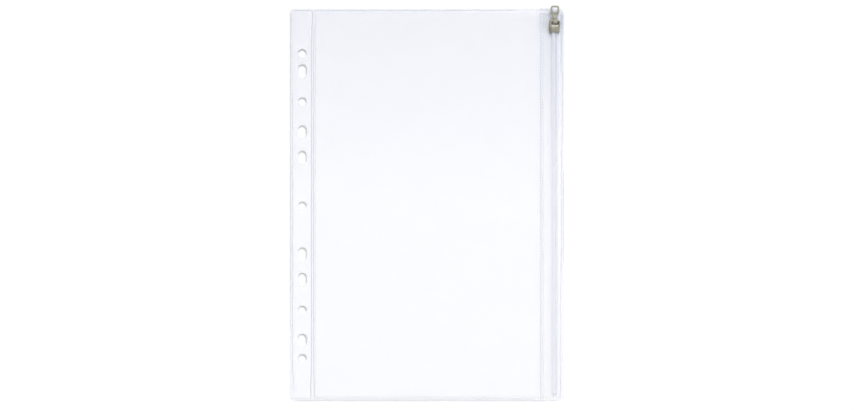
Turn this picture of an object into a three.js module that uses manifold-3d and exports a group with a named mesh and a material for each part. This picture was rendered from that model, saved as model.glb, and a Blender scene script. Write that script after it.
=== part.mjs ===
// A clear zip binder pocket for ring binders, lying flat, in millimetres.
// +X points across to the zip, +Y along the zip to the slider, +Z up out of the front.
// The origin is the middle of the back face.
import * as THREE from "three";
import { mergeVertices } from "three/addons/utils/BufferGeometryUtils.js";
import Module from "manifold-3d";

const wasm = await Module();
wasm.setup();

// Pocket and film
const POCKET_WIDTH = 216;
const POCKET_HEIGHT = 309;
const CORNER_RADIUS = 3.5;
const ZIP_CORNER_RADIUS = 5.8;
const FILM = 0.2;

// Welded bands, where the two films are pressed together
const LEFT_WELD = 2.8;
const TOP_WELD = 1.8;
const BOTTOM_WELD = 3;
const RIGHT_WELD = 2.6;
const MARGIN_WELD = 2.9;
const MARGIN_WIDTH = 16.5;

// Between the welds the front film stands off the back film
const MARGIN_RISE = 0.3;
const PANEL_RISE = 0.6;
const WELD_RAMP = 1.5;
const RAMP_SHIFT = 0.3;

// Binder holes, in a row down the margin, mirrored about the row's middle
const HOLE_INSET = 10;
const HOLE_DIAMETER = 6;
const SLOT_LENGTH = 10;
const HOLE_ROW_DROP = 0.7;
const ROUND_HOLES_FROM_MIDDLE = [82, 120];
const SLOTS_FROM_MIDDLE = [38, 58, 106];

// Zip strips: two extruded plastic profiles, each a flat web with a hooked head
const PROFILE_FROM_RIGHT = 7.8;
const PROFILE_WIDTH = 4.7;
const SLIT = 0.7;
const RIB_HEAD_WIDTH = 1.6;
const WEB = 0.4;
const WEB_OVERLAP = 2.9;
const INNER_WEB_WIDTH = 9;
const UNDERCUT_DEPTH = 0.6;
const UNDERCUT_HEIGHT = 0.8;
const HEAD_THICKNESS = 1.4;
const HEAD_ROUNDING = 0.4;
const HEAD_TOP_MARGIN = 6;
const HEAD_BOTTOM_MARGIN = 6.8;
const HEAD_END_SLOPE = 2.6;

// The rib that snaps into the groove
const INTERLOCK_LIFT = 1.05;
const GROOVE_DEPTH = 1.2;
const GROOVE_HEIGHT = 1.3;
const GROOVE_MOUTH = 0.8;
const GROOVE_LIP = 0.25;
const RIB_STEM = 0.5;
const RIB_BARB = 1.04;
const RIB_TIP = 0.4;
const RIB_CLEARANCE = 0.12;

// Slider body: a die-cast channel that grips the shoulders of the two heads
const SLIDER_LENGTH = 10.6;
const SLIDER_FROM_TOP = 9.1;
const SLIDER_BASE_WIDTH = 8.2;
const SLIDER_TOP_WIDTH = 6;
const SLIDER_PLATE = 0.7;
const SLIDER_EDGE = 0.3;
const SLIDER_CORNER = 1.3;
const PLATE_CORNER = 1.4;
const SIDE_CLEARANCE = 0.2;
const RUNNING_CLEARANCE = 0.15;
const LIP_THICKNESS = 0.5;
const LEG_LENGTH = 0.7;
const FIN_WIDTH = 0.4;
const FIN_LENGTH = 4.6;
const FIN_CLEARANCE = 0.3;
const NOSE_FLARE = 0.3;
const NOSE_FLARE_LENGTH = 1.6;

// Hinge of the pull: two ears, a riveted pin and the cap of the pull between them
const PIN_FROM_NOSE = 1.7;
const PIN_LIFT = 1.85;
const PIN_RADIUS = 0.4;
const PIN_HEAD_RADIUS = 0.85;
const PIN_HEAD = 0.65;
const PIN_CLEARANCE = 0.15;
const PIN_SEAT = 3.25;
const SPOT_FACE_CLEARANCE = 0.12;
const EAR_RADIUS = 1.15;
const EAR_FOOT = 4.8;
const EAR_SINK = 0.6;
const EAR_ROOT = 0.1;
const EAR_CURVE = 4.1;
const EAR_CURVE_LENGTH = 5;
const EAR_CURVE_BACK = 2.1;
const EAR_INNER = 2.1;
const EAR_GAP = 0.35;
const NEST_RADIUS = 3.15;
const NEST_BACK = 2.75;

// Pull tab: a pressed plate with a shield-shaped ring
const PULL_THICKNESS = 0.9;
const PULL_LIFT = 0.35;
const PULL_LENGTH = 12.4;
const CAP_BELOW = 1.75;
const CAP_ABOVE = 1.7;
const CAP_HALF_HEIGHT = 1.1;
const CAP_ROUNDING = 0.9;
const CAP_EASING = 0.25;
const CAP_FRONT = 2.4;
const PULL_NECK_WIDTH = 3.3;
const PULL_NECK_AT = 3.3;
const PULL_SHOULDER_AT = 7;
const PULL_SHOULDER_BLEND = 0.9;
const PULL_RING_WIDTH = 6.6;
const PULL_RING_ROUNDING = 1.8;
const RING_HOLE_WIDTH = 4.1;
const RING_HOLE_TOP = 1.3;
const RING_HOLE_SIDE = 2.5;
const RING_HOLE_LENGTH = 4.2;
const RING_HOLE_ROUNDING = 0.8;
const PULL_BEVEL = 0.15;
const RECESS_DEPTH = 0.25;
const RECESS_RIM = 0.65;
const RECESS_BELOW_HOLE = 0.55;

// Facets, and the grid that makes faces on one level share it exactly
const ROUND_STEPS = 32;
const CURVE_STEPS = 6;
const GRID = 1e-4;

// Places worked out from the sizes above
const LEFT = -POCKET_WIDTH / 2;
const RIGHT = POCKET_WIDTH / 2;
const TOP = POCKET_HEIGHT / 2;
const BOTTOM = -POCKET_HEIGHT / 2;
const PROFILE_X = RIGHT - PROFILE_FROM_RIGHT;
const PROFILE_LEFT = PROFILE_X - PROFILE_WIDTH / 2;
const PROFILE_RIGHT = PROFILE_X + PROFILE_WIDTH / 2;
const RIB_HEAD_LEFT = PROFILE_RIGHT - RIB_HEAD_WIDTH;
const GROOVE_HEAD_RIGHT = RIB_HEAD_LEFT - SLIT;
const SLIT_X = (GROOVE_HEAD_RIGHT + RIB_HEAD_LEFT) / 2;
const INNER_WEB_LEFT = PROFILE_LEFT - INNER_WEB_WIDTH;
const FRONT_FILM_RIGHT = INNER_WEB_LEFT + WEB_OVERLAP;
const PANEL_LEFT = LEFT + MARGIN_WIDTH + MARGIN_WELD;
const HEAD_TOP_END = TOP - HEAD_TOP_MARGIN;
const HEAD_BOTTOM_END = BOTTOM + HEAD_BOTTOM_MARGIN;

// Levels, from the back face up
const WELD_Z = FILM;
const WEB_Z = 2 * FILM + PANEL_RISE;
const WEB_TOP_Z = WEB_Z + WEB;
const SHOULDER_Z = WEB_TOP_Z + UNDERCUT_HEIGHT;
const HEAD_TOP_Z = SHOULDER_Z + HEAD_THICKNESS;
const INTERLOCK_Z = WEB_Z + INTERLOCK_LIFT;
const LIP_Z = WEB_TOP_Z + RUNNING_CLEARANCE;
const PLATE_Z = HEAD_TOP_Z + RUNNING_CLEARANCE;
const PLATE_TOP_Z = PLATE_Z + SLIDER_PLATE;
const PIN_Z = HEAD_TOP_Z + PIN_LIFT;

// Slider places
const NOSE_Y = TOP - SLIDER_FROM_TOP;
const PIN_Y = NOSE_Y - PIN_FROM_NOSE;
const CAP_WIDTH = 2 * (EAR_INNER - EAR_GAP);
const CHANNEL_HALF = PROFILE_WIDTH / 2 + SIDE_CLEARANCE;
const LIP_TIP = PROFILE_WIDTH / 2 - UNDERCUT_DEPTH + RUNNING_CLEARANCE;

// Levels of the slider and the flat of the pull, from the pin
const FROM_PIN = {
  lip: LIP_Z - PIN_Z,
  lipTop: LIP_Z + LIP_THICKNESS - PIN_Z,
  plate: PLATE_Z - PIN_Z,
  plateTop: PLATE_TOP_Z - PIN_Z,
  fin: INTERLOCK_Z + RIB_STEM / 2 + FIN_CLEARANCE - PIN_Z,
  pull: PULL_LIFT - PIN_LIFT,
  pullTop: PULL_LIFT - PIN_LIFT + PULL_THICKNESS,
};

const clearPvc = new THREE.MeshStandardMaterial({
  color: 0xf1f3f9,
  roughness: 0.18,
  metalness: 0,
  transparent: true,
  opacity: 0.35,
});
const zipPvc = new THREE.MeshStandardMaterial({
  color: 0xe8eaf4,
  roughness: 0.3,
  metalness: 0,
  transparent: true,
  opacity: 0.7,
});
const castNickel = new THREE.MeshStandardMaterial({
  color: 0xa6a292,
  roughness: 0.35,
  metalness: 1,
});
const brightNickel = new THREE.MeshStandardMaterial({
  color: 0xb8b5a4,
  roughness: 0.25,
  metalness: 1,
});

// A closed three.js geometry as a solid for joining and cutting.
function solidOf(geometry) {
  const bare = geometry.clone();
  bare.deleteAttribute("normal");
  bare.deleteAttribute("uv");
  const merged = mergeVertices(bare, GRID);
  const positions = merged.getAttribute("position").array;
  return new wasm.Manifold(
    new wasm.Mesh({
      numProp: 3,
      vertProperties: positions.map((value) => Math.round(value / GRID) * GRID),
      triVerts: new Uint32Array(merged.index.array),
    }),
  );
}

function joined(...solids) {
  return solids.reduce((all, next) => all.add(next));
}

function cut(solid, ...tools) {
  return tools.reduce((left, tool) => left.subtract(tool), solid);
}

// A finished solid as a named mesh.
function meshOf(solid, name, material) {
  const made = solid.getMesh();
  const geometry = new THREE.BufferGeometry();
  geometry.setAttribute("position", new THREE.BufferAttribute(made.vertProperties, 3));
  geometry.setIndex(new THREE.BufferAttribute(made.triVerts, 1));
  geometry.computeVertexNormals();
  const mesh = new THREE.Mesh(geometry, material);
  mesh.name = name;
  return mesh;
}

function extruded(shape, depth, options = {}) {
  return new THREE.ExtrudeGeometry(shape, {
    depth,
    bevelEnabled: false,
    curveSegments: CURVE_STEPS,
    ...options,
  });
}

// A plan shape, drawn in X and Y, between two levels.
function plateOf(shape, low, high) {
  return solidOf(extruded(shape, high - low).translate(0, 0, low));
}

// A section drawn in X and Z, run along Y.
function alongY(shape, from, to) {
  const turn = new THREE.Matrix4().makeBasis(
    new THREE.Vector3(1, 0, 0),
    new THREE.Vector3(0, 0, 1),
    new THREE.Vector3(0, -1, 0),
  );
  return solidOf(extruded(shape, to - from).applyMatrix4(turn).translate(0, to, 0));
}

// A section drawn in Y and Z, run along X.
function alongX(shape, from, to) {
  const turn = new THREE.Matrix4().makeBasis(
    new THREE.Vector3(0, 1, 0),
    new THREE.Vector3(0, 0, 1),
    new THREE.Vector3(1, 0, 0),
  );
  return solidOf(extruded(shape, to - from).applyMatrix4(turn).translate(from, 0, 0));
}

function polygon(points) {
  return new THREE.Shape(points.map(([x, y]) => new THREE.Vector2(x, y)));
}

function rectangle(x0, y0, x1, y1) {
  return polygon([
    [x0, y0],
    [x1, y0],
    [x1, y1],
    [x0, y1],
  ]);
}

// A rectangle with a radius for its left corners and one for its right corners.
function roundedRectangle(x0, y0, x1, y1, leftRadius, rightRadius) {
  const shape = new THREE.Shape();
  const quarter = Math.PI / 2;
  shape.moveTo(x0 + leftRadius, y0);
  shape.lineTo(x1 - rightRadius, y0);
  if (rightRadius) shape.absarc(x1 - rightRadius, y0 + rightRadius, rightRadius, -quarter, 0, false);
  shape.lineTo(x1, y1 - rightRadius);
  if (rightRadius) shape.absarc(x1 - rightRadius, y1 - rightRadius, rightRadius, 0, quarter, false);
  shape.lineTo(x0 + leftRadius, y1);
  if (leftRadius) shape.absarc(x0 + leftRadius, y1 - leftRadius, leftRadius, quarter, 2 * quarter, false);
  shape.lineTo(x0, y0 + leftRadius);
  if (leftRadius) shape.absarc(x0 + leftRadius, y0 + leftRadius, leftRadius, 2 * quarter, 3 * quarter, false);
  return shape;
}

// A round-ended hole with its long axis along Y; a length equal to the width makes it round.
function holeShape(x, y, width, length) {
  const radius = width / 2;
  const reach = (length - width) / 2;
  const shape = new THREE.Shape();
  shape.absarc(x, y + reach, radius, 0, Math.PI, false);
  shape.absarc(x, y - reach, radius, Math.PI, 2 * Math.PI, false);
  return shape;
}

// The section of the space under a raised film: S-shaped ramps up from the welds, or a straight
// side where the film is open there.
function raisedSection(from, to, base, rise, openStart, openEnd) {
  const ramp = WELD_RAMP;
  const top = base + rise;
  const shape = new THREE.Shape();
  shape.moveTo(from, base);
  if (openStart) shape.lineTo(from, top);
  else shape.bezierCurveTo(from + ramp / 2, base, from + ramp / 2, top, from + ramp, top);
  if (openEnd) shape.lineTo(to, top);
  else {
    shape.lineTo(to - ramp, top);
    shape.bezierCurveTo(to - ramp / 2, top, to - ramp / 2, base, to, base);
  }
  shape.lineTo(to, base);
  return shape;
}

// The space under a raised panel of film.
function pillow({ x0, x1, y0, y1, base, rise, openLeft = false, openRight = false }) {
  const across = alongY(raisedSection(x0, x1, base, rise, openLeft, openRight), y0, y1);
  const along = alongX(raisedSection(y0, y1, base, rise, false, false), x0, x1);
  return across.intersect(along);
}

// A sheet that lies at one level and is raised over each space.
function pressedSheet(outline, base, thickness, spaces) {
  const flat = plateOf(outline, base, base + thickness);
  const raised = spaces.map((space) => pillow({ ...space, base: base + thickness }));
  const hollows = spaces.map((space) => pillow({ ...space, base }));
  return cut(joined(flat, ...raised), ...hollows);
}

// The binder holes through both films, as one list of cutting solids.
function holeCutters() {
  const x = LEFT + HOLE_INSET;
  const low = -1;
  const high = WEB_TOP_Z;
  const cutters = [];
  const add = (fromMiddle, length) => {
    const shape = holeShape(x, -HOLE_ROW_DROP + fromMiddle, HOLE_DIAMETER, length);
    const geometry = extruded(shape, high - low, { curveSegments: ROUND_STEPS / 4 });
    cutters.push(solidOf(geometry.translate(0, 0, low)));
  };
  add(0, HOLE_DIAMETER);
  for (const side of [1, -1]) {
    for (const distance of ROUND_HOLES_FROM_MIDDLE) add(side * distance, HOLE_DIAMETER);
    for (const distance of SLOTS_FROM_MIDDLE) add(side * distance, SLOT_LENGTH);
  }
  return cutters;
}

// The back film is flat and covers the whole pocket.
function backSheet() {
  const outline = roundedRectangle(LEFT, BOTTOM, RIGHT, TOP, CORNER_RADIUS, ZIP_CORNER_RADIUS);
  return cut(plateOf(outline, 0, FILM), ...holeCutters());
}

// The front film ends under the web of the groove strip, which is the free edge of the mouth.
function frontSheet() {
  const outline = roundedRectangle(LEFT, BOTTOM, FRONT_FILM_RIGHT, TOP, CORNER_RADIUS, 0);
  const margin = {
    x0: LEFT + LEFT_WELD,
    x1: LEFT + MARGIN_WIDTH,
    y0: BOTTOM + BOTTOM_WELD,
    y1: TOP - TOP_WELD,
    rise: MARGIN_RISE,
  };
  const panel = {
    x0: PANEL_LEFT,
    x1: FRONT_FILM_RIGHT,
    y0: BOTTOM + BOTTOM_WELD,
    y1: TOP - TOP_WELD,
    rise: PANEL_RISE,
    openRight: true,
  };
  return cut(pressedSheet(outline, WELD_Z, FILM, [margin, panel]), ...holeCutters());
}

// The left head, a hooked groove that opens to the right.
function grooveHeadShape() {
  const right = GROOVE_HEAD_RIGHT;
  const end = right - GROOVE_DEPTH;
  const lip = right - GROOVE_LIP;
  const shape = new THREE.Shape();
  shape.moveTo(right, WEB_Z);
  shape.lineTo(right, INTERLOCK_Z - GROOVE_MOUTH / 2);
  shape.lineTo(lip, INTERLOCK_Z - GROOVE_MOUTH / 2);
  shape.lineTo(lip, INTERLOCK_Z - GROOVE_HEIGHT / 2);
  shape.lineTo(end, INTERLOCK_Z - GROOVE_HEIGHT / 2);
  shape.lineTo(end, INTERLOCK_Z + GROOVE_HEIGHT / 2);
  shape.lineTo(lip, INTERLOCK_Z + GROOVE_HEIGHT / 2);
  shape.lineTo(lip, INTERLOCK_Z + GROOVE_MOUTH / 2);
  shape.lineTo(right, INTERLOCK_Z + GROOVE_MOUTH / 2);
  shape.lineTo(right, HEAD_TOP_Z);
  shape.lineTo(PROFILE_LEFT + HEAD_ROUNDING, HEAD_TOP_Z);
  shape.quadraticCurveTo(PROFILE_LEFT, HEAD_TOP_Z, PROFILE_LEFT, HEAD_TOP_Z - HEAD_ROUNDING);
  shape.lineTo(PROFILE_LEFT, SHOULDER_Z);
  shape.lineTo(PROFILE_LEFT + UNDERCUT_DEPTH, SHOULDER_Z);
  shape.lineTo(PROFILE_LEFT + UNDERCUT_DEPTH, WEB_Z);
  return shape;
}

// The right head, with the barbed rib that points left into the groove.
function ribHeadShape() {
  const left = RIB_HEAD_LEFT;
  const neck = PROFILE_RIGHT - UNDERCUT_DEPTH;
  const tip = GROOVE_HEAD_RIGHT - GROOVE_DEPTH + RIB_CLEARANCE;
  const barb = GROOVE_HEAD_RIGHT - GROOVE_LIP - RIB_CLEARANCE;
  const shape = new THREE.Shape();
  shape.moveTo(left, WEB_Z);
  shape.lineTo(neck, WEB_Z);
  shape.lineTo(neck, SHOULDER_Z);
  shape.lineTo(PROFILE_RIGHT, SHOULDER_Z);
  shape.lineTo(PROFILE_RIGHT, HEAD_TOP_Z - HEAD_ROUNDING);
  shape.quadraticCurveTo(PROFILE_RIGHT, HEAD_TOP_Z, PROFILE_RIGHT - HEAD_ROUNDING, HEAD_TOP_Z);
  shape.lineTo(left, HEAD_TOP_Z);
  shape.lineTo(left, INTERLOCK_Z + RIB_STEM / 2);
  shape.lineTo(barb, INTERLOCK_Z + RIB_STEM / 2);
  shape.lineTo(barb, INTERLOCK_Z + RIB_BARB / 2);
  shape.lineTo(tip, INTERLOCK_Z + RIB_TIP / 2);
  shape.lineTo(tip, INTERLOCK_Z - RIB_TIP / 2);
  shape.lineTo(barb, INTERLOCK_Z - RIB_BARB / 2);
  shape.lineTo(barb, INTERLOCK_Z - RIB_STEM / 2);
  shape.lineTo(left, INTERLOCK_Z - RIB_STEM / 2);
  return shape;
}

// A head runs between the end welds, and slopes down to the web where the weld has crushed it.
function headOf(shape) {
  const slope = HEAD_END_SLOPE;
  const side = polygon([
    [HEAD_BOTTOM_END - slope, WEB_Z],
    [HEAD_TOP_END + slope, WEB_Z],
    [HEAD_TOP_END + slope, WEB_TOP_Z],
    [HEAD_TOP_END, HEAD_TOP_Z],
    [HEAD_BOTTOM_END, HEAD_TOP_Z],
    [HEAD_BOTTOM_END - slope, WEB_TOP_Z],
  ]);
  const section = alongY(shape, HEAD_BOTTOM_END - slope, HEAD_TOP_END + slope);
  return section.intersect(alongX(side, PROFILE_LEFT, PROFILE_RIGHT));
}

// The strip on the front film, with the groove.
function grooveStrip() {
  const outline = rectangle(INNER_WEB_LEFT, BOTTOM, GROOVE_HEAD_RIGHT, TOP);
  const space = {
    x0: INNER_WEB_LEFT,
    x1: GROOVE_HEAD_RIGHT,
    y0: BOTTOM + BOTTOM_WELD - RAMP_SHIFT,
    y1: TOP - TOP_WELD + RAMP_SHIFT,
    rise: PANEL_RISE,
    openLeft: true,
    openRight: true,
  };
  const web = pressedSheet(outline, WELD_Z + FILM, WEB, [space]);
  return joined(web, headOf(grooveHeadShape()));
}

// The strip on the edge of the back film, with the rib.
function ribStrip() {
  const outline = roundedRectangle(RIB_HEAD_LEFT, BOTTOM, RIGHT, TOP, 0, ZIP_CORNER_RADIUS);
  const space = {
    x0: RIB_HEAD_LEFT,
    x1: RIGHT - RIGHT_WELD,
    y0: BOTTOM + BOTTOM_WELD - RAMP_SHIFT,
    y1: TOP - TOP_WELD + RAMP_SHIFT,
    rise: WEB_Z - WELD_Z,
    openLeft: true,
  };
  const web = pressedSheet(outline, WELD_Z, WEB, [space]);
  return joined(web, headOf(ribHeadShape()));
}

// The slider's channel section: sloping flanks, a flat top and lips that hook under the heads.
function channelShape() {
  const base = SLIDER_BASE_WIDTH / 2;
  const top = SLIDER_TOP_WIDTH / 2;
  const { lip, lipTop, plate, plateTop } = FROM_PIN;
  const half = [
    [CHANNEL_HALF, plate],
    [CHANNEL_HALF, lipTop],
    [LIP_TIP, lipTop],
    [LIP_TIP, lip],
    [base - SLIDER_EDGE, lip],
    [base, lip + SLIDER_EDGE],
    [top, plateTop - SLIDER_EDGE],
    [top - SLIDER_EDGE, plateTop],
  ];
  const mirrored = half.map(([x, z]) => [-x, z]).reverse();
  return polygon([...half, ...mirrored]);
}

// The side of an ear, drawn in Y and Z about the pin: round over the pin, sloping to the plate.
function earSide() {
  const shape = new THREE.Shape();
  const low = FROM_PIN.plate - EAR_SINK;
  const lean = Math.PI * 0.64;
  shape.moveTo(-EAR_FOOT, low);
  shape.lineTo(EAR_RADIUS, low);
  shape.lineTo(EAR_RADIUS, 0);
  shape.absarc(0, 0, EAR_RADIUS, 0, lean, false);
  shape.lineTo(-EAR_FOOT, FROM_PIN.plateTop - EAR_ROOT / 2);
  return shape;
}

// An oval plan about the middle of the nest, between two levels.
function nestOval(halfWidth, halfLength, low, high) {
  const shape = new THREE.Shape();
  shape.absellipse(0, -EAR_CURVE_BACK, halfWidth, halfLength, 0, 2 * Math.PI, false, 0);
  return plateOf(shape, low, high);
}

// A round bar along X between two places, about the pin's axis.
function barX(radius, from, to) {
  const bar = new THREE.CylinderGeometry(radius, radius, to - from, ROUND_STEPS * 0.75);
  return solidOf(bar.rotateZ(Math.PI / 2).translate((from + to) / 2, 0, 0));
}

// Both ears: bands curved round the nest of the pull, cut off square beside its cap, rooted in
// the flanks outside the channel, with a flat spot outside each for the head of the pin.
function ears() {
  const low = FROM_PIN.plate - EAR_SINK;
  const outside = CHANNEL_HALF + NOSE_FLARE;
  const channel = rectangle(-outside, -2 * EAR_CURVE, outside, EAR_CURVE);
  const beside = rectangle(-EAR_INNER, -2 * EAR_CURVE, EAR_INNER, EAR_CURVE);
  const spotFace = PIN_HEAD_RADIUS + SPOT_FACE_CLEARANCE;
  return cut(
    alongX(earSide(), -EAR_CURVE, EAR_CURVE).intersect(
      nestOval(EAR_CURVE, EAR_CURVE_LENGTH, low, PIN_Z),
    ),
    nestOval(NEST_RADIUS, NEST_RADIUS, -PIN_Z, PIN_Z),
    plateOf(beside, -PIN_Z, PIN_Z),
    plateOf(channel, -PIN_Z, FROM_PIN.plate + EAR_ROOT),
    barX(spotFace, PIN_SEAT, SLIDER_BASE_WIDTH),
    barX(spotFace, -SLIDER_BASE_WIDTH, -PIN_SEAT),
  );
}

// The channel between nose and tail, with rounded corners in plan and two legs at the tail.
function sliderChannel(nose, tail) {
  const base = SLIDER_BASE_WIDTH / 2;
  const top = SLIDER_TOP_WIDTH / 2;
  const round = SLIDER_CORNER;
  const plateRound = PLATE_CORNER;
  const { lip, lipTop, plate } = FROM_PIN;
  const plan = plateOf(roundedRectangle(-base, tail, base, nose, round, round), lip, 0);
  const topPlan = roundedRectangle(-top, tail + LEG_LENGTH, top, nose, plateRound, plateRound);
  const offTop = plateOf(rectangle(-base, tail, base, nose), plate, 0).subtract(
    plateOf(topPlan, plate, 0),
  );
  const flare = polygon([
    [-CHANNEL_HALF, nose - NOSE_FLARE_LENGTH],
    [CHANNEL_HALF, nose - NOSE_FLARE_LENGTH],
    [CHANNEL_HALF + NOSE_FLARE, nose],
    [-CHANNEL_HALF - NOSE_FLARE, nose],
  ]);
  const channel = alongY(channelShape(), tail, nose).intersect(plan);
  return cut(channel, offTop, plateOf(flare, lipTop, plate));
}

// The thin fin that runs in the slit between the heads, pointed at both ends.
function sliderFin() {
  const x = SLIT_X - PROFILE_X;
  const half = FIN_WIDTH / 2;
  const upper = -NEST_BACK;
  const lower = upper - FIN_LENGTH;
  const shape = polygon([
    [x, lower],
    [x + half, lower + FIN_WIDTH],
    [x + half, upper - FIN_WIDTH],
    [x, upper],
    [x - half, upper - FIN_WIDTH],
    [x - half, lower + FIN_WIDTH],
  ]);
  return plateOf(shape, FROM_PIN.fin, FROM_PIN.plate + SLIDER_PLATE / 2);
}

// The room that the cap of the pull turns in, cut through the plate between the ears.
function pullNest(nose) {
  const open = rectangle(-EAR_INNER, -NEST_BACK, EAR_INNER, nose);
  const above = rectangle(-NEST_RADIUS, -NEST_BACK, NEST_RADIUS, nose);
  const round = nestOval(NEST_RADIUS, NEST_RADIUS, FROM_PIN.plate, 0);
  const nest = round.intersect(plateOf(above, FROM_PIN.plate, 0));
  return joined(plateOf(open, FROM_PIN.lipTop, 0), nest);
}

// Drawn about the middle of the pin.
function sliderBody() {
  const nose = PIN_FROM_NOSE;
  const tail = nose - SLIDER_LENGTH;
  const channel = cut(sliderChannel(nose, tail), pullNest(nose));
  const bore = barX(PIN_RADIUS + PIN_CLEARANCE, -SLIDER_BASE_WIDTH, SLIDER_BASE_WIDTH);
  return cut(joined(channel, sliderFin(), ears()), bore);
}

// A shaft with a domed rivet head outside each ear, drawn about the middle of the pin.
function pullPin() {
  const half = PIN_SEAT;
  const domeStart = half + PIN_HEAD * 0.4;
  const domeHeight = PIN_HEAD * 0.6;
  const dome = (turn) => [
    PIN_HEAD_RADIUS * Math.cos(turn),
    domeStart + domeHeight * Math.sin(turn),
  ];
  const upper = [[PIN_RADIUS, half], [PIN_HEAD_RADIUS, half]];
  for (let step = 0; step < CURVE_STEPS; step += 1) {
    upper.push(dome((step / CURVE_STEPS) * (Math.PI / 2)));
  }
  upper.push([0, domeStart + domeHeight]);
  const lower = upper.map(([radius, x]) => [radius, -x]).reverse();
  const profile = [...lower, ...upper].map(([radius, x]) => new THREE.Vector2(radius, x));
  const turned = new THREE.LatheGeometry(profile, ROUND_STEPS * 0.75);
  return solidOf(turned.rotateZ(-Math.PI / 2));
}

// The outline of the pull from the cap to the ring, drawn in X and Y from the pin.
function pullShape() {
  const cap = CAP_WIDTH / 2;
  const neck = PULL_NECK_WIDTH / 2;
  const ring = PULL_RING_WIDTH / 2;
  const round = PULL_RING_ROUNDING;
  const blend = PULL_SHOULDER_BLEND;
  const lower = new THREE.Vector2(neck, PULL_NECK_AT);
  const shoulder = new THREE.Vector2(ring, PULL_SHOULDER_AT);
  const before = shoulder.clone().sub(lower).setLength(blend).negate().add(shoulder);
  const shape = new THREE.Shape();
  shape.moveTo(-cap, CAP_HALF_HEIGHT);
  shape.lineTo(cap, CAP_HALF_HEIGHT);
  shape.lineTo(cap, CAP_FRONT);
  shape.quadraticCurveTo(neck, CAP_FRONT, neck, lower.y);
  shape.lineTo(before.x, before.y);
  shape.quadraticCurveTo(ring, shoulder.y, ring, shoulder.y + blend);
  shape.lineTo(ring, PULL_LENGTH - round);
  shape.absarc(ring - round, PULL_LENGTH - round, round, 0, Math.PI / 2, false);
  shape.absarc(round - ring, PULL_LENGTH - round, round, Math.PI / 2, Math.PI, false);
  shape.lineTo(-ring, shoulder.y + blend);
  shape.quadraticCurveTo(-ring, shoulder.y, -before.x, before.y);
  shape.lineTo(-neck, lower.y);
  shape.quadraticCurveTo(-neck, CAP_FRONT, -cap, CAP_FRONT);
  shape.holes.push(ringHole());
  return shape;
}

// The shield-shaped hole in the ring.
function ringHole() {
  const half = RING_HOLE_WIDTH / 2;
  const high = PULL_LENGTH - RING_HOLE_TOP;
  const waist = high - RING_HOLE_SIDE;
  const low = high - RING_HOLE_LENGTH;
  const round = RING_HOLE_ROUNDING;
  const hole = new THREE.Path();
  hole.moveTo(-half, waist);
  hole.lineTo(-half, high - round);
  hole.absarc(round - half, high - round, round, Math.PI, Math.PI / 2, true);
  hole.absarc(half - round, high - round, round, Math.PI / 2, 0, true);
  hole.lineTo(half, waist);
  hole.bezierCurveTo(half, (waist + low) / 2, half / 2, low, 0, low);
  hole.bezierCurveTo(-half / 2, low, -half, (waist + low) / 2, -half, waist);
  return hole;
}

// The shallow pressed recess between the neck and the ring, which leaves a rim on both sides.
function pullRecess() {
  const rise = (PULL_RING_WIDTH - PULL_NECK_WIDTH) / 2 / (PULL_SHOULDER_AT - PULL_NECK_AT);
  const high = PULL_LENGTH - RING_HOLE_TOP - RING_HOLE_LENGTH - RECESS_BELOW_HOLE;
  const lowHalf = PULL_NECK_WIDTH / 2 - RECESS_RIM;
  const highHalf = lowHalf + (high - PULL_NECK_AT) * rise;
  const shape = polygon([
    [-lowHalf, PULL_NECK_AT],
    [lowHalf, PULL_NECK_AT],
    [highHalf, high],
    [-highHalf, high],
  ]);
  const top = FROM_PIN.pullTop;
  return plateOf(shape, top - RECESS_DEPTH, top + RECESS_DEPTH);
}

// The cap over the pin: flat on top, round towards the tail, sloping down to the neck.
function pullCap() {
  const half = CAP_HALF_HEIGHT;
  const round = CAP_ROUNDING;
  const end = round - CAP_BELOW;
  const quarter = Math.PI / 2;
  const side = new THREE.Shape();
  side.moveTo(end, -half);
  side.lineTo(0, -half);
  side.lineTo(half, FROM_PIN.pull + PULL_BEVEL);
  side.lineTo(CAP_FRONT, FROM_PIN.pull + PULL_BEVEL);
  side.lineTo(CAP_FRONT, FROM_PIN.pullTop - PULL_BEVEL);
  side.lineTo(CAP_ABOVE, half - CAP_EASING);
  side.lineTo(CAP_ABOVE - CAP_EASING, half);
  side.lineTo(end, half);
  side.absarc(end, half - round, round, quarter, 2 * quarter, false);
  side.absarc(end, round - half, round, 2 * quarter, 3 * quarter, false);
  const wide = CAP_WIDTH / 2;
  const plan = roundedRectangle(-wide, -CAP_BELOW, wide, CAP_FRONT + CAP_EASING, CAP_EASING, CAP_EASING);
  return alongX(side, -wide, wide).intersect(plateOf(plan, -PIN_Z, PIN_Z));
}

// A plate with eased edges that carries the cap, drawn about the pin.
function pullTab() {
  const plate = extruded(pullShape(), PULL_THICKNESS - 2 * PULL_BEVEL, {
    bevelEnabled: true,
    bevelSize: PULL_BEVEL,
    bevelOffset: -PULL_BEVEL,
    bevelThickness: PULL_BEVEL,
    bevelSegments: 1,
  });
  const flat = solidOf(plate.translate(0, 0, PULL_BEVEL + FROM_PIN.pull));
  const bore = barX(PIN_RADIUS + PIN_CLEARANCE, -CAP_WIDTH, CAP_WIDTH);
  return cut(joined(flat, pullCap()), pullRecess(), bore);
}

const pocket = new THREE.Group();
pocket.add(meshOf(backSheet(), "back_sheet", clearPvc));
pocket.add(meshOf(frontSheet(), "front_sheet", clearPvc));
pocket.add(meshOf(grooveStrip(), "zip_groove_strip", zipPvc));
pocket.add(meshOf(ribStrip(), "zip_rib_strip", zipPvc));

const slider = new THREE.Group();
slider.position.set(PROFILE_X, PIN_Y, PIN_Z);
slider.add(meshOf(sliderBody(), "slider_body", castNickel));
slider.add(meshOf(pullPin(), "pull_pin", brightNickel));
slider.add(meshOf(pullTab(), "pull_tab", brightNickel));
pocket.add(slider);

export default pocket;
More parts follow.
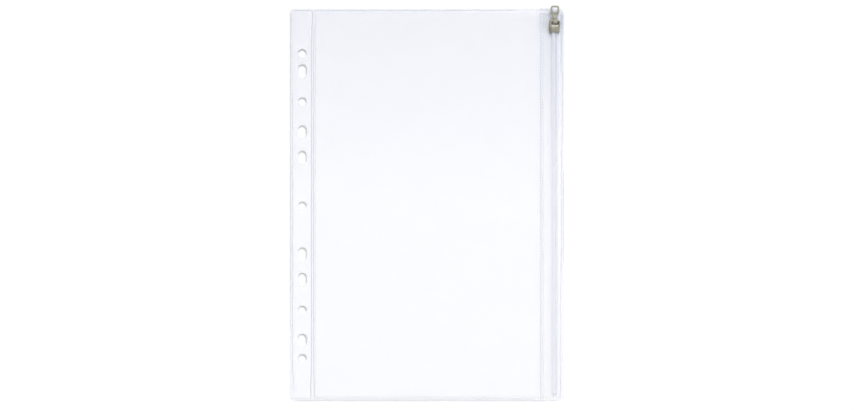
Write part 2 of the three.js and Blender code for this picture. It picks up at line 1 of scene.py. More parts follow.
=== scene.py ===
"""The looks of a clear zip binder pocket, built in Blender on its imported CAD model.

Lengths are metres, in the frame of the CAD model: +X across to the zip, +Y up to the slider and
+Z out of the front.
"""

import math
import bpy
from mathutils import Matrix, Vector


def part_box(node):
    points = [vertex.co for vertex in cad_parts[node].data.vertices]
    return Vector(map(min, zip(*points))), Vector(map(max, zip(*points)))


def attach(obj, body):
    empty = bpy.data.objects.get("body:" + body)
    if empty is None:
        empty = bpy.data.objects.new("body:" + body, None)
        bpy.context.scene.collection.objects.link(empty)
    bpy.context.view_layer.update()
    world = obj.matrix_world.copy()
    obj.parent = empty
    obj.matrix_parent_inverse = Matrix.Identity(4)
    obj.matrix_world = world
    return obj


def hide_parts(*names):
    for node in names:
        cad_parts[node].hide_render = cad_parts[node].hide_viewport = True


bl_info = {
    "name": "Zip Binder Pocket",
    "version": (1, 0, 0),
    "blender": (4, 5, 0),
    "location": "3D View > Sidebar > Pocket",
    "description": "Films, zip, slider and studio of a clear zip binder pocket",
    "category": "Object",
}

import bmesh
import bpy
from bpy.props import FloatProperty, FloatVectorProperty, PointerProperty
from bpy.types import Operator, Panel, PropertyGroup
from mathutils import Vector

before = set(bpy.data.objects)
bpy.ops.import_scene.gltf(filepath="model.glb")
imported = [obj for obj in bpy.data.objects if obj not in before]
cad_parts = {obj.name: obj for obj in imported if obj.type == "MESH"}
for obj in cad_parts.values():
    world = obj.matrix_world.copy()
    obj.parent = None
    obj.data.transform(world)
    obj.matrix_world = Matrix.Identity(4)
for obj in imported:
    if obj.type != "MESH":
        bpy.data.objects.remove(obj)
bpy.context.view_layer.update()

MM = 0.001

# The photograph's width in pixels, and its scale
PHOTO_WIDTH = 854
PIXELS_PER_MM = 1.27

# The pocket's places, in metres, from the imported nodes
BACK_LOW, BACK_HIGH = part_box("back_sheet")
GROOVE_LOW, GROOVE_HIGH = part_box("zip_groove_strip")
SLIDER_LOW, SLIDER_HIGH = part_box("slider_body")
LEFT, BOTTOM = BACK_LOW.x, BACK_LOW.y
RIGHT, TOP = BACK_HIGH.x, BACK_HIGH.y
MOUTH_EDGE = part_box("front_sheet")[1].x
RIB_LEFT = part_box("zip_rib_strip")[0].x

# Thickness of a film and of the zip's webs, and how far the zip's heads stand above the webs
FILM = BACK_HIGH.z
WEB = 0.4 * MM
HEAD_RISE = 2.2 * MM
WEB_TOP = GROOVE_HIGH.z - HEAD_RISE

# The slider's walls stand out over the zip's heads by this much on both sides
SLIDER_WALL = 1.7 * MM

# The welded bands of the CAD model
LEFT_WELD = 2.8 * MM
TOP_WELD = 1.8 * MM
BOTTOM_WELD = 3.0 * MM
MARGIN_WELD_START = LEFT + 16.5 * MM
MARGIN_WELD_END = LEFT + 19.4 * MM
RAMP = 1.5 * MM

# The binder holes lie between these places in X, and nearer to the middle than this in Y
HOLES_LEFT = LEFT + 5 * MM
HOLES_RIGHT = LEFT + 15 * MM
HOLES_REACH = TOP - 5 * MM

# A dark rim stands up on the side of each hole that faces the key lamp; its colour is painted
# shade and its lip casts a shadow into the hole. Counting a wall squarely on that side as 1 and
# one squarely opposite as -1, the burr starts from the first of these shares and stands full from
# the second
LAMP_SIDE = Vector((0.3, 0.954, 0))
BURR_START, BURR_FULL = -0.1, 0.6

# A face whose normal rises by less than this share is a wall
WALL = 0.2

# Two films that lie face to face are kept this far apart, so that both are seen through
SKIN_GAP = 0.012 * MM

# Beads are lifted off the vinyl they lie on by this much, so that no two faces share a place
LIFT = 0.002 * MM

# Section of a bead, by shares of half its width to the side and of its height
BEAD_SECTION = ((-1, 0), (-0.5, 0.75), (0, 1), (0.5, 0.75), (1, 0))

# Spacing of the cuts that cross the zip strips
STRIP_STEP = 12 * MM

# CAD vertices closer than this are one, and faces that turn by less than this are one face
MERGE = 0.0005 * MM
FLAT = math.radians(0.2)

# Edges of the castings that turn by more than this are rounded
CORNER = math.radians(25)

# Half the side of the square floor, and its place just under the pocket
FLOOR_REACH = 1.2
FLOOR_LEVEL = -0.25 * MM

# Width of the camera's sensor in millimetres
SENSOR = 36


def linear(colour):
    """An sRGB hex colour as linear red, green and blue."""
    values = [int(colour[i : i + 2], 16) / 255 for i in (1, 3, 5)]
    return [v / 12.92 if v <= 0.04045 else ((v + 0.055) / 1.055) ** 2.4 for v in values]


# Bluish tint that the vinyl takes on towards the closed end
CLOSED_END_TINT = linear("#C3CCDB")
VINYL_IOR = 1.53


def smooth_step(value, low, high):
    """0 up to low, 1 from high, and a smooth rise between."""
    share = min(1.0, max(0.0, (value - low) / (high - low)))
    return share * share * (3 - 2 * share)


class FilmSettings(PropertyGroup):
    """Sizes and colours of the two films."""

    wave_height: FloatProperty(
        name="Wave height",
        description="How far the loose front film rises and falls over its broad waves",
        default=0.28 * MM,
        unit="LENGTH",
        precision=5,
    )
    back_rise: FloatProperty(
        name="Back rise",
        description="How far the back film lies off the table at half the height of its waves",
        default=0.12 * MM,
        unit="LENGTH",
        precision=5,
    )
    grid: FloatProperty(
        name="Grid",
        description="Spacing of the lines that let the film bend",
        default=4 * MM,
        unit="LENGTH",
        precision=4,
    )
    bead_height: FloatProperty(
        name="Bead height",
        description="Height of a weld bead above the film",
        default=0.08 * MM,
        unit="LENGTH",
        precision=6,
    )
    # The hole rims are dark as painted shade, on the side that faces the key lamp
    rim: FloatProperty(
        name="Hole rim",
        description="Thickness of the torn, frosted rim of a binder hole",
        default=0.28 * MM,
        unit="LENGTH",
        precision=6,
    )
    # The rim stands up on the lamp side, so that its shadow falls into the hole
    burr: FloatProperty(
        name="Hole burr",
        description="How far the torn rim stands out of the front film",
        default=0.3 * MM,
        unit="LENGTH",
        precision=6,
    )
    tint: FloatVectorProperty(
        name="Tint",
        description="Faint cool tint of the clear vinyl",
        default=linear("#F1F2F9"),
        subtype="COLOR",
    )
    bead: FloatVectorProperty(
        name="Weld beads",
        description="Vinyl that was squeezed out of a weld and set cloudy",
        default=linear("#CED2DD"),
        subtype="COLOR",
    )
    # Grey of the lines painted as shadow along the left and lower edges
    trimmed: FloatVectorProperty(
        name="Trimmed line",
        description="Greyer line that the trimming knife leaves",
        default=linear("#D2D1D4"),
        subtype="COLOR",
    )
    opacity: FloatProperty(
        name="Opacity",
        description="How much of what is behind it one face of the clear film veils",
        default=0.14,
        min=0,
        max=1,
        subtype="FACTOR",
    )
    shade: FloatProperty(
        name="Shade",
        description="Share of that veil which also holds back the light of the lamps",
        default=0.2,
        min=0,
        max=1,
        subtype="FACTOR",
    )


class ZipSettings(PropertyGroup):
    """Sizes and colours of the two zip strips."""

    knurl_pitch: FloatProperty(
        name="Knurl pitch",
        description="Distance from rung to rung down the knurled weld",
        default=2.3 * MM,
        unit="LENGTH",
        precision=4,
    )
    knurl_height: FloatProperty(
        name="Knurl height",
        description="Height of the ridges that the welding wheel leaves",
        default=0.12 * MM,
        unit="LENGTH",
        precision=5,
    )
    tint: FloatVectorProperty(
        name="Tint",
        description="Bluish white of the thick extruded heads",
        default=linear("#E7EAF4"),
        subtype="COLOR",
    )
    crushed: FloatVectorProperty(
        name="Crushed ends",
        description="Colour where the end welds have crushed the heads",
        default=linear("#C6CADA"),
        subtype="COLOR",
    )
    # A bluish band of the weld beyond the zip, beside the slider, denser towards the closed end
    strained: FloatVectorProperty(
        name="Strained weld",
        description="Weld beyond the zip where the slider pulls at it",
        default=linear("#D2D8E8"),
        subtype="COLOR",
    )
    rail: FloatVectorProperty(
        name="Knurl rails",
        description="The two lines that edge the knurled weld",
        default=linear("#DFE3EC"),
        subtype="COLOR",
    )
    rung: FloatVectorProperty(
        name="Knurl rungs",
        description="Frosted ridges across the knurled weld",
        default=linear("#DADEE8"),
        subtype="COLOR",
    )


class SliderSettings(PropertyGroup):
    """Sizes and colours of the slider and its pull."""

    edge: FloatProperty(
        name="Edge rounding",
        description="Radius on the edges of the castings",
        default=0.12 * MM,
        unit="LENGTH",
        precision=5,
    )
    casting: FloatVectorProperty(
        name="Casting",
        description="Nickel plate over the zinc slider, slightly warm",
        default=linear("#9C988A"),
        subtype="COLOR",
    )
    pull: FloatVectorProperty(
        name="Pull",
        description="Brighter nickel plate of the pull and its pin",
        default=linear("#9A988D"),
        subtype="COLOR",
    )
    # Brass tone of worn plate on the rounded edges, lighter as painted glints
    worn: FloatVectorProperty(
        name="Worn edges",
        description="Brass tone where the plate has worn thin on the edges",
        default=linear("#AC9D7A"),
        subtype="COLOR",
    )


class StageSettings(PropertyGroup):
    """Camera, floor and light."""

    height: FloatProperty(
        name="Camera height",
        description="Distance from the camera down to the pocket",
        default=0.8,
        unit="LENGTH",
    )
    view_width: FloatProperty(
        name="View width",
        description="Width of the floor that the picture takes in",
        default=PHOTO_WIDTH / PIXELS_PER_MM * MM,
        unit="LENGTH",
    )
    floor: FloatVectorProperty(
        name="Floor",
        description="Pale floor",
        default=linear("#F7F7F8"),
        subtype="COLOR",
    )
    key: FloatProperty(
        name="Key light",
        description="Power of the soft lamp beyond the slider's end",
        default=171.0,
        unit="POWER",
    )
    side: FloatProperty(
        name="Side light",
        description="Power of the wide lamp on the zip's side",
        default=50.0,
        unit="POWER",
    )
    fill: FloatProperty(
        name="Fill light",
        description="Power of the weak lamp on the margin's side",
        default=3.5,
        unit="POWER",
    )
    ceiling: FloatProperty(
        name="Ceiling",
        description="Strength of the white room straight overhead",
        default=0.7,
    )
    walls: FloatProperty(
        name="Walls",
        description="Strength of the white room at the height of the table",
        default=0.16,
    )
    glow: FloatProperty(
        name="Glow",
        description="What the floor adds where the eye, a mirror or glass looks, to be white",
        default=0.05,
    )


def add_node(tree, kind, links=None, **settings):
    """Adds a node, sets what it's given, and fills its inputs with values or links."""
    node = tree.nodes.new(kind)
    for name, value in settings.items():
        setattr(node, name, value)
    for name, value in (links or {}).items():
        if isinstance(value, bpy.types.NodeSocket):
            tree.links.new(value, node.inputs[name])
        else:
            node.inputs[name].default_value = value
    return node


def new_material(name):
    """An empty node material with its output and the object's coordinates."""
    material = bpy.data.materials.new(name)
    material.use_nodes = True
    tree = material.node_tree
    tree.nodes.clear()
    place = add_node(tree, "ShaderNodeTexCoord")
    output = add_node(tree, "ShaderNodeOutputMaterial")
    return material, tree, place.outputs["Object"], output


def finish_material(tree, shader, output, bump):
    """Joins the bump to the shader, and the shader to the output."""
    tree.links.new(bump, shader.inputs["Normal"])
    tree.links.new(shader.outputs["BSDF"], output.inputs["Surface"])


def mixed(tree, factor, first, second):
    """One colour fading into another by a factor."""
    ramp = add_node(tree, "ShaderNodeValToRGB", {"Fac": factor})
    ramp.color_ramp.elements[0].color = (*first, 1)
    ramp.color_ramp.elements[1].color = (*second, 1)
    return ramp.outputs["Color"]


def darker(colour, share):
    """A linear colour dimmed to a share of itself."""
    return [value * share for value in colour]


def near_closed_end(tree, place, reach):
    """Rises from 0 to 1 over the last stretch of the pocket up to its closed end."""
    spot = add_node(tree, "ShaderNodeSeparateXYZ", {"Vector": place})
    ends = {"Value": spot.outputs["Y"], "From Min": TOP - reach, "From Max": TOP}
    return add_node(tree, "ShaderNodeMapRange", ends).outputs["Result"]


def vinyl_alpha(tree, opacity, edge_opacity, shade, near, strain):
    """How dense the vinyl looks: thin when seen flat, dense at a low angle, and denser towards the
    closed end. Only a share of its haze holds back the light of the lamps."""
    facing = add_node(tree, "ShaderNodeLayerWeight", {"Blend": 0.35})
    turned = {"Value": facing.outputs["Facing"], "To Min": opacity, "To Max": edge_opacity}
    haze = add_node(tree, "ShaderNodeMapRange", turned).outputs["Result"]
    if strain:
        ends = {"Value": near, "To Min": 1.0, "To Max": 1.0 + strain}
        denser = add_node(tree, "ShaderNodeMapRange", ends).outputs["Result"]
        haze = add_node(
            tree, "ShaderNodeMath", {0: haze, 1: denser}, operation="MULTIPLY"
        ).outputs[0]
    path = add_node(tree, "ShaderNodeLightPath")
    lamps = add_node(
        tree,
        "ShaderNodeMath",
        {0: path.outputs["Is Shadow Ray"], 1: path.outputs["Is Diffuse Ray"]},
        operation="MAXIMUM",
    )
    ends = {"Value": lamps.outputs[0], "To Min": 1.0, "To Max": shade}
    held = add_node(tree, "ShaderNodeMapRange", ends).outputs["Result"]
    return add_node(
        tree, "ShaderNodeMath", {0: haze, 1: held}, operation="MULTIPLY"
    ).outputs[0]


def clear_vinyl(
    name, tint, opacity, edge_opacity, roughness, peel, shade=1.0, strain=0.0, reach=0.0
):
    """Calendered PVC film: clear and glossy, with a faint orange peel from the rollers.

    Seen flat it nearly vanishes, and at a low angle its gloss hides what is behind it. Its haze
    scatters lamp light on rather than stopping it, so only a share of the haze casts shade. Over
    the last reach of metres up to the closed end, the haze grows by the share of end haze and
    turns bluish."""
    material, tree, place, output = new_material(name)
    # Plasticiser leaves cloudy patches some 40 mm wide
    cloud = add_node(
        tree, "ShaderNodeTexNoise", {"Vector": place, "Scale": 25.0, "Detail": 2.0}
    )
    colour = mixed(tree, cloud.outputs["Fac"], darker(tint, 0.975), tint)
    # Orange peel of the rollers, 1.5 mm from dimple to dimple, drawn coarser than the real 0.5 mm
    dimples = add_node(
        tree, "ShaderNodeTexNoise", {"Vector": place, "Scale": 650.0, "Detail": 1.0}
    )
    bump = add_node(
        tree,
        "ShaderNodeBump",
        {"Height": dimples.outputs["Fac"], "Strength": peel, "Distance": 0.05 * MM},
    )
    gloss = add_node(
        tree,
        "ShaderNodeMapRange",
        {
            "Value": cloud.outputs["Fac"],
            "To Min": roughness * 0.8,
            "To Max": roughness * 1.25,
        },
    )
    near = near_closed_end(tree, place, reach) if strain else None
    if strain:
        ends = {"Value": near, "To Max": min(1.0, strain)}
        share = add_node(tree, "ShaderNodeMapRange", ends).outputs["Result"]
        colour = add_node(
            tree,
            "ShaderNodeMixRGB",
            {"Fac": share, "Color1": colour, "Color2": (*CLOSED_END_TINT, 1)},
        ).outputs["Color"]
    finish = {"Base Color": colour, "Roughness": gloss.outputs["Result"], "IOR": VINYL_IOR}
    # Vinyl that lets no light through, as the hole rims painted dark as shade, keeps the shader's
    # own alpha
    if min(opacity, shade) < 1:
        finish["Alpha"] = vinyl_alpha(tree, opacity, edge_opacity, shade, near, strain)
    shader = add_node(tree, "ShaderNodeBsdfPrincipled", finish)
    finish_material(tree, shader, output, bump.outputs["Normal"])
    return material


def plated_metal(name, colour, roughness, grain):
    """Barrel-plated nickel: bright, with the fine pits and clouding of a tumbled small part."""
    material, tree, place, output = new_material(name)
    # Clouding of the plate, 2 mm across
    cloud = add_node(
        tree, "ShaderNodeTexNoise", {"Vector": place, "Scale": 500.0, "Detail": 4.0}
    )
    tone = mixed(tree, cloud.outputs["Fac"], darker(colour, 0.82), colour)
    gloss = add_node(
        tree,
        "ShaderNodeMapRange",
        {
            "Value": cloud.outputs["Fac"],
            "To Min": roughness * 0.7,
            "To Max": roughness * 1.4,
        },
    )
    # Pits of the casting, 0.15 mm apart
    pits = add_node(
        tree, "ShaderNodeTexNoise", {"Vector": place, "Scale": 6500.0, "Detail": 2.0}
    )
    bump = add_node(
        tree,
        "ShaderNodeBump",
        {"Height": pits.outputs["Fac"], "Strength": grain, "Distance": 0.02 * MM},
    )
    shader = add_node(
        tree,
        "ShaderNodeBsdfPrincipled",
        {"Base Color": tone, "Metallic": 1.0, "Roughness": gloss.outputs["Result"]},
    )
    finish_material(tree, shader, output, bump.outputs["Normal"])
    return material


def shared(name, make, **finish):
    """The material of that name, made once."""
    return bpy.data.materials.get(name) or make(name, **finish)


def loose_film(film):
    """The clear film as it comes from the rollers."""
    return shared(
        "clear_vinyl_film",
        clear_vinyl,
        tint=list(film.tint),
        opacity=film.opacity,
        edge_opacity=0.6,
        roughness=0.16,
        peel=0.25,
        shade=film.shade,
        strain=0.34,
        reach=0.15,
    )


def welded_film(film):
    """Pressed flat by the welding bar, so a little denser and glossier."""
    return shared(
        "welded_vinyl",
        clear_vinyl,
        tint=darker(list(film.tint), 0.985),
        opacity=film.opacity * 1.4,
        edge_opacity=0.7,
        roughness=0.1,
        peel=0.1,
        shade=film.shade,
        strain=0.15,
        reach=0.15,
    )


def cut_edge(film):
    """A cut edge gathers the light that runs inside the film and looks dense."""
    return shared(
        "cut_vinyl_edge",
        clear_vinyl,
        tint=darker(list(film.tint), 0.75),
        opacity=0.5,
        edge_opacity=0.8,
        roughness=0.35,
        peel=0.1,
        shade=0.3,
    )


def film_materials(film):
    """Loose film, welded film, and a punched or trimmed edge."""
    return [loose_film(film), welded_film(film), cut_edge(film)]


def cad_copy(node):
    """A bmesh of a CAD node's mesh, merged, with its flat areas free of the CAD's triangles."""
    bm = bmesh.new()
    bm.from_mesh(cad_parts[node].data)
    bmesh.ops.remove_doubles(bm, verts=bm.verts, dist=MERGE)
    bmesh.ops.dissolve_limit(bm, angle_limit=FLAT, verts=bm.verts, edges=bm.edges)
    return bm


def cut_along(bm, axis, places):
    """Cuts every face by planes square to an axis."""
    for place in places:
        point, normal = Vector((0, 0, 0)), Vector((0, 0, 0))
        point[axis], normal[axis] = place, 1
        geometry = bm.verts[:] + bm.edges[:] + bm.faces[:]
        bmesh.ops.bisect_plane(
            bm, geom=geometry, dist=1e-7, plane_co=point, plane_no=normal
        )


def spaced(low, high, step):
    """Places between two ends, about a step apart."""
    count = max(1, round((high - low) / step))
    return [low + (high - low) * i / count for i in range(1, count)]


def make_piece(name, bm, materials, body, nodes, sharp=30):
    """Turns a bmesh into a piece that rides on a body and stands for CAD nodes."""
    mesh = bpy.data.meshes.new(name)
    bm.to_mesh(mesh)
    bm.free()
    for material in materials:
        mesh.materials.append(material)
    mesh.shade_smooth()
    mesh.set_sharp_from_angle(angle=math.radians(sharp))
    piece = bpy.data.objects.new(name, mesh)
    bpy.context.scene.collection.objects.link(piece)
    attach(piece, body)
    if nodes:
        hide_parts(*nodes)
    return piece


def is_welded(x, y):
    """True where the two films are pressed into one along their borders and the margin."""
    if x < LEFT + LEFT_WELD or MARGIN_WELD_START < x < MARGIN_WELD_END:
        return True
    return y < BOTTOM + BOTTOM_WELD or y > TOP - TOP_WELD


def film_wave(x, y):
    """Broad slack of the film between its welds, from -1 to 1: swells some 195 mm long across,
    163 mm long up and 77 mm long aslant, the first two bent by each other's direction."""
    u, v = x / MM, y / MM
    wave = 0.42 * math.sin(u / 31 + 0.6 * math.sin(v / 47))
    wave += 0.38 * math.sin(v / 26 + 0.9 * math.sin(u / 55) + 1.1)
    wave += 0.20 * math.sin((u + 1.4 * v) / 21)
    return wave


def panel_slack(x, y):
    """How free the panel is to wave: 0 at its welds, and 1 some 16 to 20 mm inside them."""
    sides = smooth_step(x, MARGIN_WELD_END + RAMP, MARGIN_WELD_END + 16 * MM)
    sides *= 1 - smooth_step(x, MOUTH_EDGE - 20 * MM, MOUTH_EDGE - 5 * MM)
    ends = smooth_step(y, BOTTOM + BOTTOM_WELD + RAMP, BOTTOM + 18 * MM)
    ends *= 1 - smooth_step(y, TOP - 18 * MM, TOP - TOP_WELD - RAMP)
    return sides * ends


def shape_film(bm, film, move):
    """Cuts the film into a grid, gives its faces their materials, lowers its upper skin a hair and
    bends it."""
    cut_along(bm, 0, spaced(LEFT, RIGHT, film.grid))
    cut_along(bm, 0, [LEFT + LEFT_WELD, MARGIN_WELD_START, MARGIN_WELD_END])
    cut_along(bm, 1, spaced(BOTTOM, TOP, film.grid))
    cut_along(bm, 1, [BOTTOM + BOTTOM_WELD, TOP - TOP_WELD])
    bm.normal_update()
    for face in bm.faces:
        middle = face.calc_center_median()
        upright = abs(face.normal.z) < WALL
        face.material_index = 2 if upright else int(is_welded(middle.x, middle.y))
    skins = [-SKIN_GAP if vert.normal.z > 0 else 0 for vert in bm.verts]
    for vert, skin in zip(bm.verts, skins):
        vert.co.z += skin + move(vert.co.x, vert.co.y)


class POCKET_OT_back_film(Operator):
    """The back film, full size, lying on the table"""

    bl_idname = "pocket.back_film"
    bl_label = "Back Film"

    def execute(self, context):
        film = context.scene.pocket_film
        bm = cad_copy("back_sheet")

        def lie(x, y):
            return film.back_rise * panel_slack(x, y) * (1 + film_wave(-x, y))

        shape_film(bm, film, lie)
        piece = make_piece(
            "back_film", bm, film_materials(film), "pocket", ["back_sheet"]
        )
        return {"FINISHED"}


class POCKET_OT_front_film(Operator):
    """The front film, raised off the back film between the welds and slack in broad waves"""

    bl_idname = "pocket.front_film"
    bl_label = "Front Film"

    def execute(self, context):
        film = context.scene.pocket_film
        bm = cad_copy("front_sheet")

        def wave(x, y):
            return film.wave_height * panel_slack(x, y) * film_wave(x, y)

        shape_film(bm, film, wave)
        piece = make_piece(
            "front_film", bm, film_materials(film), "pocket", ["front_sheet"]
        )
        return {"FINISHED"}


def add_ribbon(bm, points, width, height, level, end_width=None):
    """A low closed bead along a line of places in X and Y, rounded on top and flat below: its
    section, extruded from place to place. Its width can change evenly towards its end."""
    places = [Vector((*point, level)) for point in points]
    growth = ((end_width or width) - width) / (len(places) - 1)
    up, face = Vector((0, 0, height)), None
    for index, place in enumerate(places):
        ahead = places[min(index + 1, len(places) - 1)] - places[max(index - 1, 0)]
        side = Vector((-ahead.y, ahead.x, 0)).normalized() * (width + growth * index) / 2
        spots = [place + side * across + up * rise for across, rise in BEAD_SECTION]
        spots += [place + side * across - Vector((0, 0, SKIN_GAP)) for across in (1, -1)]
        if index == 0:
            face = bm.faces.new([bm.verts.new(spot) for spot in spots])
            continue
        made = bmesh.ops.extrude_face_region(bm, geom=[face])
        if index > 1:
            bm.faces.remove(face)
        face = next(item for item in made["geom"] if isinstance(item, bmesh.types.BMFace))
        for vert, spot in zip(face.verts, spots):
            vert.co = spot


def from_left_corner(right, down):
    """A place given in millimetres from the pocket's upper left corner."""
    return (LEFT + right * MM, TOP - down * MM)


def from_right_corner(left, down):
    """A place given in millimetres from the pocket's upper right corner."""
    return (RIGHT - left * MM, TOP - down * MM)


def bead_paths():
    """Where the welding bars left beads, each with its width, in millimetres from the upper left
    corner: the margin's bead comes round out of the top weld as one line, parts in two some 14 mm
    down and spreads a little at the bottom."""
    height = (TOP - BOTTOM) / MM
    turn = [math.pi / 2 * step / 6 for step in range(7)]
    round_in = [(16.1 + 1.8 * math.sin(a), 3.0 - 1.8 * math.cos(a)) for a in turn]
    single = [*round_in, (17.9, 8), (17.9, 12.4)]
    inner = [(17.9, 12.4), (17.5, 14.2), (17.1, 16.5), (17.05, 150), (17.0, height - 24)]
    outer = [(17.9, 12.4), (18.4, 14.2), (18.9, 16.5), (18.9, 150), (18.95, height - 24)]
    inner += [(16.6, height - 15), (16.4, height - 3.4)]
    outer += [(19.3, height - 15), (19.5, height - 3.4)]
    side = [(1.5, 3.4), (1.8, 40), (2.0, 90), (2.0, height - 40), (2.2, height - 27)]
    side += [(2.6, height - 20), (3.1, height - 16), (3.5, height - 12), (3.6, height - 8)]
    lines = [
        (0.5, [(2.8, 1.3), (16.1, 1.3)]),
        (0.5, [(19.4, 1.3), (90, 1.25), (180, 1.3)]),
        (0.75, single),
        (0.65, inner),
        (0.6, outer),
        (0.5, side),
        (0.35, [(2.9, height - 2.6), (90, height - 2.5), (190, height - 2.0)]),
    ]
    return [(width, [from_left_corner(*place) for place in line]) for width, line in lines]


def edge_shadow_paths():
    """Painted shadow lines along the left and the lower border, the sides away from the lamps,
    each with its width, in millimetres from the upper left corner. The one on the left thins out
    towards its lower end."""
    height = (TOP - BOTTOM) / MM
    low = height - 0.75
    lines = [
        (0.5, [(0.5, 3.6), (0.5, height - 85)]),
        (0.25, [(0.5, height - 85), (0.5, height - 58)]),
        (0.5, [(5.4, low), (210, low)]),
    ]
    return [(width, [from_left_corner(*place) for place in line]) for width, line in lines]


def bead_vinyl(film):
    """Vinyl that was squeezed out of a weld and set cloudy."""
    return shared(
        "weld_bead_vinyl",
        clear_vinyl,
        tint=list(film.bead),
        opacity=0.65,
        edge_opacity=0.8,
        roughness=0.2,
        peel=0.1,
        shade=film.shade,
    )


def trimmed_vinyl(film):
    """A greyer line painted along the pocket's left and lower edges as their shadow."""
    return shared(
        "trimmed_vinyl",
        clear_vinyl,
        tint=list(film.trimmed),
        opacity=0.6,
        edge_opacity=0.7,
        roughness=0.2,
        peel=0.1,
        shade=film.shade,
    )


def rim_shade_vinyl(film):
    """A dark, opaque rim on the lamp side of a hole: its dark colour is painted shade."""
    return shared(
        "frosted_rim",
        clear_vinyl,
        tint=darker(list(film.tint), 0.5),
        opacity=1.0,
        edge_opacity=1.0,
        roughness=0.5,
        peel=0.1,
    )


class POCKET_OT_hole_rims(Operator):
    """A dark rim that stands up on the key lamp's side of each binder hole: its colour is painted
    shade, and its lip casts a shadow into the hole
    """

    bl_idname = "pocket.hole_rims"
    bl_label = "Hole Rims"

    def execute(self, context):
        film = context.scene.pocket_film
        bm = cad_copy("front_sheet")
        rest = []
        for face in bm.faces:
            middle = face.calc_center_median()
            in_row = HOLES_LEFT < middle.x < HOLES_RIGHT and abs(middle.y) < HOLES_REACH
            on_shaded_side = face.normal.dot(LAMP_SIDE) < -BURR_START
            if abs(face.normal.z) > WALL or not in_row or not on_shaded_side:
                rest.append(face)
        bmesh.ops.delete(bm, geom=rest, context="FACES")
        # The walls on the lamp side reach from the back face to a lip on the front and run out at
        # both ends
        bm.normal_update()
        middle = (min(v.co.z for v in bm.verts) + max(v.co.z for v in bm.verts)) / 2
        for vert in bm.verts:
            shaded = smooth_step(-vert.normal.dot(LAMP_SIDE), BURR_START, BURR_FULL)
            if vert.co.z > middle:
                vert.co.z += film.burr * shaded
            else:
                vert.co.z *= 1 - shaded
            vert.co += vert.normal * SKIN_GAP
        bmesh.ops.solidify(bm, geom=bm.faces[:], thickness=film.rim)
        make_piece("hole_rims", bm, [rim_shade_vinyl(film)], "pocket", [])
        return {"FINISHED"}


class POCKET_OT_weld_beads(Operator):
    """The beads that the welding bars squeezed out of the films, and the painted shadow lines
    along the left and lower edges
    """

    bl_idname = "pocket.weld_beads"
    bl_label = "Weld Beads"

    def execute(self, context):
        film = context.scene.pocket_film
        bm = bmesh.new()
        level = 2 * FILM + LIFT
        for width, line in bead_paths():
            add_ribbon(bm, line, width * MM, film.bead_height, level)
        beads = set(bm.faces)
        # Painted shadow lines along the left and lower edges
        for width, line in edge_shadow_paths():
            add_ribbon(bm, line, width * MM, film.bead_height, level)
        for face in bm.faces:
            face.material_index = 0 if face in beads else 1
        bmesh.ops.recalc_face_normals(bm, faces=bm.faces)
        materials = [bead_vinyl(film), trimmed_vinyl(film)]
        make_piece("weld_beads", bm, materials, "pocket", [], sharp=60)
        return {"FINISHED"}


def bluish_band_vinyl(film, zips):
    """Welded vinyl, bluish and denser towards the closed end."""
    return shared(
        "strained_weld_vinyl",
        clear_vinyl,
        tint=list(zips.strained),
        opacity=0.2,
        edge_opacity=0.7,
        roughness=0.2,
        peel=0.1,
        shade=film.shade,
        strain=2.0,
        reach=0.06,
    )


class POCKET_OT_outer_weld_lines(Operator):
    """The lines of the weld beyond the zip, and its wide bluish band beside the slider"""

    bl_idname = "pocket.outer_weld_lines"
    bl_label = "Outer Weld Lines"

    def execute(self, context):
        film, zips = context.scene.pocket_film, context.scene.pocket_zip
        height = (TOP - BOTTOM) / MM
        bm = bmesh.new()
        level = FILM + WEB + LIFT
        outer = [(0.5, 128), (0.5, 198)]
        inner = [(1.5, 44), (1.4, 88), (2.0, 119), (2.1, 190), (2.7, 218), (3.1, 237)]
        inner += [(3.1, 269), (2.8, 284), (2.8, height - 3.2)]
        for line, width in ((outer, 0.35), (inner, 0.45)):
            places = [from_right_corner(*place) for place in line]
            add_ribbon(bm, places, width * MM, film.bead_height, level)
        lines = set(bm.faces)
        # The bluish band is 46 mm long and narrows away from the slider
        places = [from_right_corner(2.0 + 0.1 * step, 4.6 + 6.6 * step) for step in range(8)]
        add_ribbon(bm, places, 2.1 * MM, film.bead_height, level + 2 * LIFT, 0.5 * MM)
        bmesh.ops.recalc_face_normals(bm, faces=bm.faces)
        for face in bm.faces:
            face.material_index = 0 if face in lines else 1
        materials = [bead_vinyl(film), bluish_band_vinyl(film, zips)]
        make_piece("outer_weld_lines", bm, materials, "pocket", [], sharp=60)
        return {"FINISHED"}


def web_vinyl(film):
    """The strips' thin webs: clear as the films are, and a little denser."""
    return shared(
        "web_vinyl",
        clear_vinyl,
        tint=list(film.tint),
        opacity=film.opacity * 1.3,
        edge_opacity=0.6,
        roughness=0.16,
        peel=0.25,
        shade=film.shade,
        strain=0.6,
        reach=0.12,
    )


def head_vinyl(film, zips, name, opacity):
    """Extruded vinyl, 2.6 mm deep, so its tint and haze build up."""
    return shared(
        name,
        clear_vinyl,
        tint=list(zips.tint),
        opacity=opacity,
        edge_opacity=0.7,
        roughness=0.22,
        peel=0.3,
        shade=film.shade,
        strain=0.45,
        reach=0.12,
    )


def crushed_vinyl(film, zips):
    """Vinyl that the end welds remelted, darker and uneven."""
    return shared(
        "crushed_vinyl",
        clear_vinyl,
        tint=list(zips.crushed),
        opacity=0.3,
        edge_opacity=0.8,
        roughness=0.3,
        peel=0.6,
        shade=film.shade,
    )


